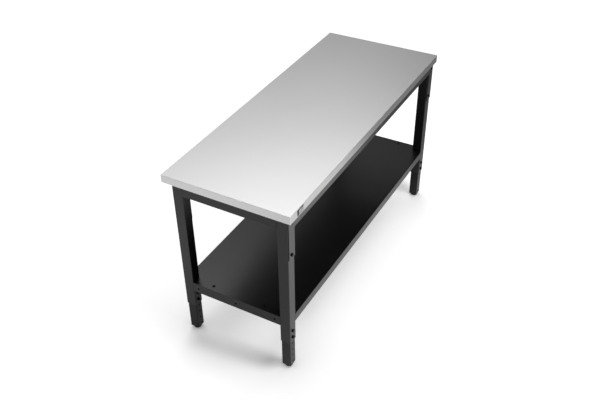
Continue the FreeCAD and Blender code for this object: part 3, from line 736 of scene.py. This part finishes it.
label = fresh("cube", size=1.0)
label.name = "label_plate_framed"
label.scale = plate_size
label.location = [(a + b) / 2 for a, b in zip(low, high)]
bpy.ops.object.transform_apply(location=True, rotation=True, scale=True)
bpy.ops.object.mode_set(mode="EDIT")
bpy.ops.mesh.select_mode(type="EDGE")
bpy.ops.mesh.select_all(action="DESELECT")
outline = bmesh.from_edit_mesh(label.data)
for edge in outline.edges:
    first, second = (vert.co for vert in edge.verts)
    edge.select_set(abs(first.y - second.y) > plate_size[1] / 2)
bmesh.update_edit_mesh(label.data)
bpy.ops.mesh.bevel(offset=CORNER_ROUND * MM, segments=5)
for place, way in (((band_x, 0, 0), X_WAY), ((0, 0, band_z), UP)):
    bpy.ops.mesh.select_all(action="SELECT")
    bpy.ops.mesh.bisect(plane_co=place, plane_no=way)
pick(label, field)
bpy.ops.mesh.inset(thickness=FIELD_INSET * MM)
bpy.ops.mesh.extrude_region_move(TRANSFORM_OT_translate={"value": (0, FIELD_DEPTH * MM, 0)})
bpy.ops.object.mode_set(mode="OBJECT")
label.data.materials.clear()
label.data.materials.append(BLACKED)
label.data.materials.append(LABEL)
for face in label.data.polygons:
    face.material_index = 0 if face.center.x < band_x or face.center.z > band_z else 1
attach(label, "table")
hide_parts("label_plate")
print("label", [round(length / MM, 1) for length in plate_size], "mm,", len(label.data.polygons), "faces")

# %% [markdown]
# ## Camera
#
# The camera stands high in front of the left end and looks down along the table. Its place and its three
# angles are given as one would set a tripod: how far it is turned, tilted and rolled. The shift moves the
# view without turning the camera, as a shift lens does.

# %% Camera
CAMERA_PLACE = Vector((-2.714, -1.4384, 2.6141))
CAMERA_TURN = math.radians(31.59)       # from +X towards +Y
CAMERA_TILT = math.radians(37.91)       # below the horizon
CAMERA_ROLL = math.radians(-2.19)
CAMERA_LENS = 46.6                      # mm
CAMERA_SENSOR = 36.0                    # mm
CAMERA_SHIFT = (0.0427, 0.0317)         # in widths of the sensor

camera_data = bpy.data.cameras.new("camera")
camera_data.sensor_fit = "HORIZONTAL"
camera_data.sensor_width = CAMERA_SENSOR
camera_data.lens = CAMERA_LENS
camera_data.shift_x, camera_data.shift_y = CAMERA_SHIFT
camera = bpy.data.objects.new("camera", camera_data)
bpy.context.scene.collection.objects.link(camera)
aim = Euler((math.pi / 2 - CAMERA_TILT, 0.0, CAMERA_TURN - math.pi / 2)).to_matrix().to_4x4()
camera.matrix_world = Matrix.Translation(CAMERA_PLACE) @ aim @ Matrix.Rotation(CAMERA_ROLL, 4, "Z")
bpy.context.scene.camera = camera
print("camera at", tuple(round(part, 3) for part in camera.location))

# %% [markdown]
# ## Floor
#
# The floor is a wide sheet of white paper with a material in three parts: what it gives back of the lamps'
# light, its own light where it is seen directly, and its own light in the table's reflections. The last two
# follow the place on the paper, so the cell makes the sheet and the two measures of that place: along the
# table and across it, both from the middle.

# %% Floor sheet
FLOOR_HALF = 30.0          # m
PAPER = 0.8                # how much light the paper gives back to the table

floor = fresh("plane", size=2 * FLOOR_HALF)
floor.name = "floor"
paper, paper_tree, paper_surface = start_material("floor_paper", grey(PAPER), 0.9)
paper_surface.inputs["Specular IOR Level"].default_value = 0.0
floor_ray = add_node(paper_tree, "ShaderNodeLightPath").outputs
paper_shade = combine(paper_tree, "MULTIPLY_ADD", floor_ray["Is Camera Ray"], 1.0 - PAPER, PAPER)
paper_tree.links.new(paper_shade, paper_surface.inputs["Base Color"])
paper_place = add_node(paper_tree, "ShaderNodeTexCoord").outputs["Object"]
paper_axes = add_node(paper_tree, "ShaderNodeSeparateXYZ")
paper_tree.links.new(paper_place, paper_axes.inputs[0])
along = paper_axes.outputs["X"]
across = paper_axes.outputs["Y"]
floor.data.materials.append(paper)
floor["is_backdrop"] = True
print("floor", 2 * FLOOR_HALF, "m wide")

# %% [markdown]
# ## The paper as it is seen
#
# Seen directly, the paper adds light of its own, so that it reads as white. That light fades where
# something stands close over the paper, which the Ambient Occlusion node measures: under the shelf and round
# the feet the shadow stays. Two soft shapes finish the shadow. A darker line runs under each end frame, where
# the rail and both legs keep the light away, and beside it, towards the middle, the paper is a little
# lighter.

# %% Paper as it is seen
PAPER_GLOW = 0.70          # the paper's own light near the table; far away it is 1
GLOW_ZONE = (1.5, 5.0)     # m from the middle, from the one to the other
SHADOW_REACH = 0.33        # m, how close a thing has to be to darken the paper
LINE_AT = 0.775            # m from the middle, the darker line under an end frame
LINE_SLANT = 0.15
LINE_HALF = 0.16           # m, half its length
LINE_REACH = 0.09          # m, half its width
LINE_DEPTH_REAR = 0.14
LINE_DEPTH_FRONT = 0.26
LINE_ZONE = (0.1, -0.2)    # m across, from the rear depth to the front one
PATCH_AT = (0.60, -0.05)   # m, the lighter patch
PATCH_REACH = 0.25         # m
PATCH_LIGHT = 0.22


def paper_fade(value, zone, amount, base=0.0):
    """The base where a zone starts, the base and the amount where it ends."""
    return combine(paper_tree, "MULTIPLY_ADD", ease(paper_tree, value, *zone), amount, base)


def far_off(x, y):
    """Length of a step on the paper, from its two parts."""
    step = add_node(paper_tree, "ShaderNodeCombineXYZ")
    paper_tree.links.new(x, step.inputs["X"])
    paper_tree.links.new(y, step.inputs["Y"])
    size = add_node(paper_tree, "ShaderNodeVectorMath", {"operation": "LENGTH"})
    paper_tree.links.new(step.outputs[0], size.inputs[0])
    return size.outputs["Value"]


open_sky = add_node(paper_tree, "ShaderNodeAmbientOcclusion", {"samples": 12}, Distance=SHADOW_REACH)
glow = paper_fade(far_off(along, across), GLOW_ZONE, 1.0 - PAPER_GLOW, PAPER_GLOW)
off_middle = combine(paper_tree, "ABSOLUTE", along)
line_middle = combine(paper_tree, "MULTIPLY_ADD", across, LINE_SLANT, LINE_AT)
past_end = combine(paper_tree, "SUBTRACT", combine(paper_tree, "ABSOLUTE", across), LINE_HALF)
off_line = far_off(combine(paper_tree, "SUBTRACT", off_middle, line_middle),
                   combine(paper_tree, "MAXIMUM", past_end, 0.0))
line_depth = paper_fade(across, LINE_ZONE, LINE_DEPTH_FRONT - LINE_DEPTH_REAR, LINE_DEPTH_REAR)
line_shade = combine(paper_tree, "MULTIPLY", ease(paper_tree, off_line, LINE_REACH, 0.0), line_depth)
off_patch = far_off(combine(paper_tree, "SUBTRACT", off_middle, PATCH_AT[0]),
                    combine(paper_tree, "SUBTRACT", across, PATCH_AT[1]))
patch = paper_fade(off_patch, (PATCH_REACH, 0.0), PATCH_LIGHT)
open_light = combine(paper_tree, "MULTIPLY_ADD", open_sky.outputs["AO"], glow, patch)
own_light = combine(paper_tree, "MAXIMUM", combine(paper_tree, "SUBTRACT", open_light, line_shade), 0.0)
looked_at = combine(paper_tree, "MAXIMUM", floor_ray["Is Camera Ray"], floor_ray["Is Transmission Ray"])
seen_light = combine(paper_tree, "MULTIPLY", own_light, looked_at)
print("paper's own light", PAPER_GLOW, "near the table, a darker line", LINE_AT, "m from the middle")

# %% [markdown]
# ## The paper as the table mirrors it
#
# In the paint's reflections the paper isn't equally bright everywhere, as in a real studio, where lamps
# light some of it and stands and screens cover some. In front of the table it is bright, brightest beyond
# the near end, and falls off past the far front leg. Behind the table it is dim, apart from the paper beyond
# the far end. Each zone is a soft step from one place to another, with the light that it adds.

# %% Paper as the table mirrors it
BEHIND = (-0.4, 0.0)                    # m across, from the front half to the back half
FRONT_LIGHT = 0.68
FRONT_OUTER = ((-0.5, -0.8), 0.3)       # m across, farther in front, and light added there
FRONT_END = (1.35, 0.5)                 # m along, where the front's light comes in
NEAR_END = ((-1.1, -1.8), 1.0)          # m along, beyond the near end
BACK_LIGHT = 0.1
BACK_OUTER = ((0.0, 0.6), 0.2)          # m across
BACK_LEFT = (-0.8, -1.25)               # m along
UNDER_END = ((0.0, -0.6), 0.25)         # m along, under the near half
BACK_FAR = ((1.4, 2.4), 0.8)            # m along, behind the far end

front_light = paper_fade(across, *FRONT_OUTER, FRONT_LIGHT)
front_light = combine(paper_tree, "MULTIPLY", ease(paper_tree, along, *FRONT_END), front_light)
front_light = combine(paper_tree, "MAXIMUM", front_light, paper_fade(along, *NEAR_END))
back_light = paper_fade(across, *BACK_OUTER, BACK_LIGHT)
back_light = combine(paper_tree, "MULTIPLY_ADD", ease(paper_tree, along, *BACK_LEFT), back_light,
                     paper_fade(along, *UNDER_END))
back_light = paper_fade(along, *BACK_FAR, back_light)
step_back = combine(paper_tree, "SUBTRACT", back_light, front_light)
any_light = combine(paper_tree, "MULTIPLY_ADD", step_back, ease(paper_tree, across, *BEHIND), front_light)
mirrored_light = combine(paper_tree, "MULTIPLY", floor_ray["Is Glossy Ray"], any_light)

paper_lit = add_node(paper_tree, "ShaderNodeEmission")
paper_tree.links.new(combine(paper_tree, "ADD", seen_light, mirrored_light), paper_lit.inputs["Strength"])
paper_sum = add_node(paper_tree, "ShaderNodeAddShader")
paper_tree.links.new(paper_surface.outputs["BSDF"], paper_sum.inputs[0])
paper_tree.links.new(paper_lit.outputs[0], paper_sum.inputs[1])
paper_tree.links.new(paper_sum.outputs[0], paper_tree.nodes["Material Output"].inputs["Surface"])
print("paper material has", len(paper_tree.nodes), "nodes")

# %% [markdown]
# ## World
#
# The room round the paper is dim for diffuse light and white where it is seen directly. For reflections it
# has three soft bright walls: a strong low one behind the left end, a weak one high over that, and one
# behind the right end, half way up. Each is a round spot about a direction, given by the cosines of the
# angles at which it begins and is full.

# %% World
AMBIENT = 0.05             # for diffuse light
MIRRORED = 0.03            # for reflections, between the walls
WALLS = (((-0.69, 0.69, 0.2), 0.86, 0.97, 1.7),          # direction, cosines of edge and core, strength
         ((-0.4, 0.3, 0.8), 0.80, 0.97, 0.45),
         ((0.56, 0.56, 0.61), 0.87, 0.98, 0.6))

world = bpy.data.worlds.new("studio")
bpy.context.scene.world = world
world.use_nodes = True
sky = world.node_tree
sky.nodes.clear()
sky_ray = add_node(sky, "ShaderNodeLightPath").outputs
gaze = add_node(sky, "ShaderNodeTexCoord").outputs["Generated"]
wall_light = MIRRORED
for direction, edge, core, strength in WALLS:
    toward = add_node(sky, "ShaderNodeVectorMath", {"operation": "DOT_PRODUCT"})
    sky.links.new(gaze, toward.inputs[0])
    toward.inputs[1].default_value = Vector(direction).normalized()
    wall = ease(sky, toward.outputs["Value"], edge, core)
    wall_light = combine(sky, "MULTIPLY_ADD", wall, strength, wall_light)
glossy = sky_ray["Is Glossy Ray"]
room_light = combine(sky, "MULTIPLY", combine(sky, "SUBTRACT", 1.0, glossy), AMBIENT)
room_light = combine(sky, "MULTIPLY_ADD", wall_light, glossy, room_light)
white = combine(sky, "MAXIMUM", sky_ray["Is Camera Ray"], sky_ray["Is Transmission Ray"])
backdrop = add_node(sky, "ShaderNodeBackground", Color=(1, 1, 1, 1))
sky.links.new(combine(sky, "MAXIMUM", room_light, white), backdrop.inputs["Strength"])
sky.links.new(backdrop.outputs[0], add_node(sky, "ShaderNodeOutputWorld").inputs["Surface"])
print("world with", len(WALLS), "bright walls")

# %% [markdown]
# ## Lamps
#
# Four softboxes: a weak one straight above, a long one high behind the far end, which the satin top mirrors,
# and two in front, which throw the shadows of the legs back under the table. All of them look at the middle
# of the top. The view transform is Standard, so that white paper comes out white.

# %% Lamps
LOOK_AT = Vector((0.0, 0.0, 0.85))


def softbox(name, place, width, depth, power):
    """Rectangular area lamp that looks at the table."""
    lamp_data = bpy.data.lights.new(name, "AREA")
    lamp_data.shape = "RECTANGLE"
    lamp_data.size = width
    lamp_data.size_y = depth
    lamp_data.energy = power
    lamp = bpy.data.objects.new(name, lamp_data)
    bpy.context.scene.collection.objects.link(lamp)
    lamp.location = place
    lamp.rotation_euler = (LOOK_AT - Vector(place)).to_track_quat("-Z", "Y").to_euler()


softbox("overhead", (0.0, 0.0, 2.8), width=1.6, depth=1.6, power=12.0)
softbox("strip", (1.28, 1.28, 3.25), width=3.0, depth=1.0, power=32.0)
softbox("front_low", (0.2, -2.29, 2.78), width=1.0, depth=1.0, power=10.0)
softbox("front_high", (-0.39, -1.45, 3.45), width=1.0, depth=1.0, power=22.0)
bpy.context.scene.view_settings.view_transform = "Standard"

# %% [markdown]
# ## Finish
#
# The size of the dressed table is written beside that of the bare frame, so that the two can be compared.

# %% Finish
for title, box in (("bare frame", cad_box), ("dressed table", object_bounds())):
    print(title, [round(high - low, 4) for low, high in zip(*box)], "m")
